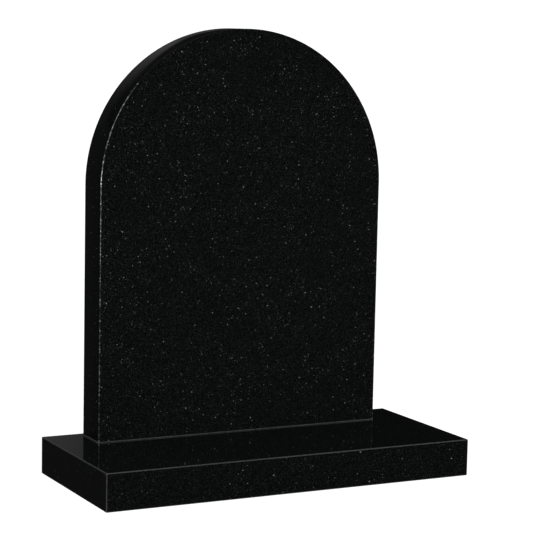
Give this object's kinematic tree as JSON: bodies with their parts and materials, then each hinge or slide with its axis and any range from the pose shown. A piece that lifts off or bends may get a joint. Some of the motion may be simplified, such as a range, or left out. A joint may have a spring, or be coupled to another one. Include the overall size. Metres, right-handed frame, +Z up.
{
  "type": "headstone",
  "caption": "Polished dark granite headstone: an upright tablet with a semicircular top, standing on a low rectangular base.",
  "frame": {"origin": "centre of the base's underside, which is the bottom centre of the whole object", "axes": "+Z up, +X along the front towards the right, -Y towards the viewer, out of the tablet's front face"},
  "size_m": [0.762, 0.33, 0.8605],
  "materials": {
    "tablet_granite": "polished",
    "base_granite": "polished"
  },
  "bodies": {
    "root": {"tablet": "tablet_granite", "base": "base_granite"}
  },
  "joints": []
}
